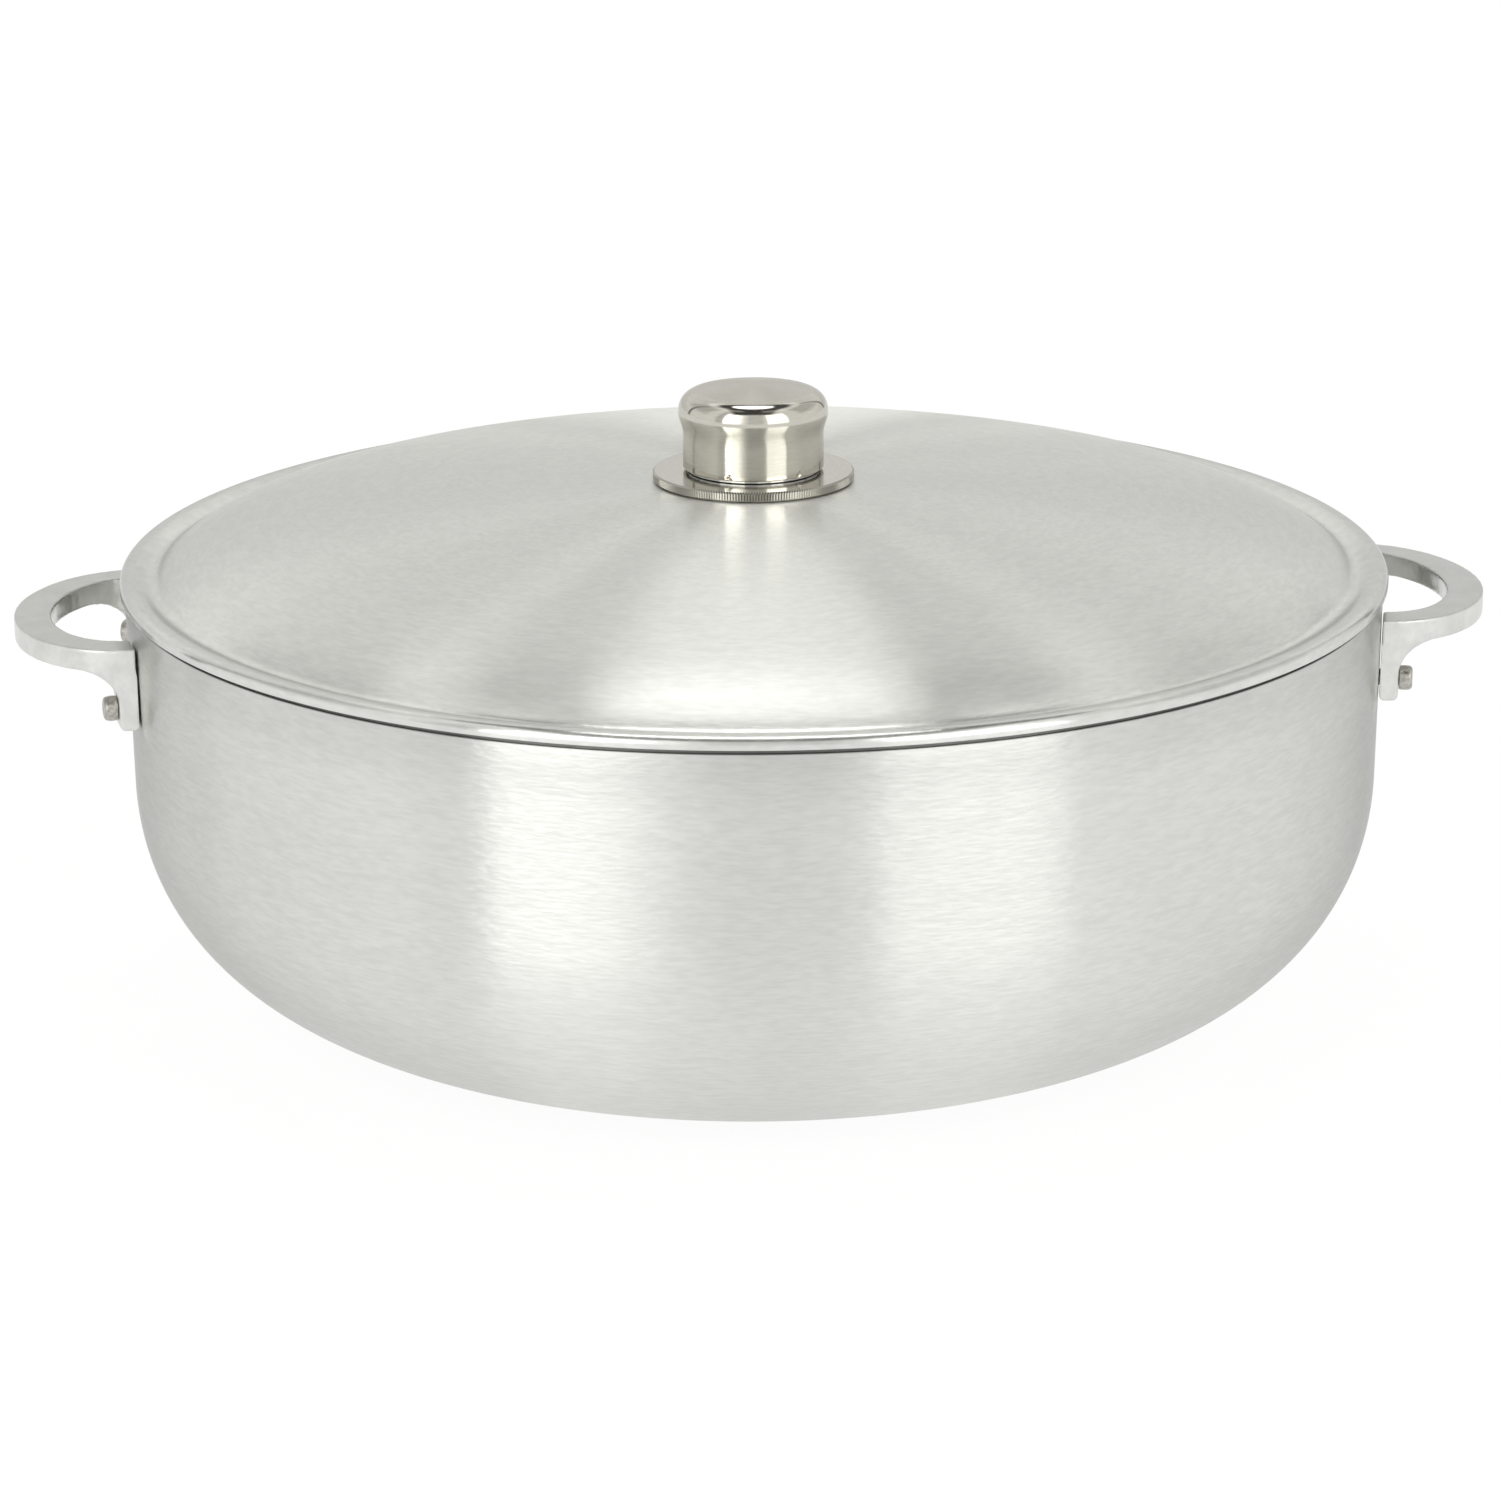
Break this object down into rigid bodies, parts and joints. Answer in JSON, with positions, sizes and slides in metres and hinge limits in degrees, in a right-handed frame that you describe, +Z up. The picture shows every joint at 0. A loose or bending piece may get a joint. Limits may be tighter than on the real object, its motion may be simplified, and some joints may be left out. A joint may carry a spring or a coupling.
{
  "type": "lidded cooking pot",
  "caption": "Wide, low aluminium cooking pot with a rounded bottom, a domed lid with a steel knob, and riveted loop handles on its sides.",
  "frame": {"origin": "centre of the flat base, on the surface the pot stands on", "axes": "+X through the middle of one handle, +Z up along the pot's axis, +Y across the handles"},
  "size_m": [0.4794, 0.41, 0.1991],
  "materials": {
    "pot": "brushed round the pot",
    "lid": "brushed in rings",
    "handle": "cast and tumbled, matt",
    "rivet": "dull satin",
    "knob": "polished stainless",
    "fixing": "plated"
  },
  "bodies": {
    "pot": {"pot_shell": "pot", "handle_left": "handle", "handle_right": "handle", "rivet_left_front": "rivet", "rivet_left_back": "rivet", "rivet_right_front": "rivet", "rivet_right_back": "rivet"},
    "lid": {"lid_shell": "lid", "knob_disc": "knob", "knob_cap": "knob", "knob_base_plate": "fixing", "knob_screw": "fixing", "knob_washer": "fixing", "knob_lock_washer": "fixing"}
  },
  "joints": [
    {"name": "lid_lift", "type": "slide", "parent": "pot", "child": "lid", "axis": [0, 0, 1], "range_m": [0, 0.25]}
  ]
}
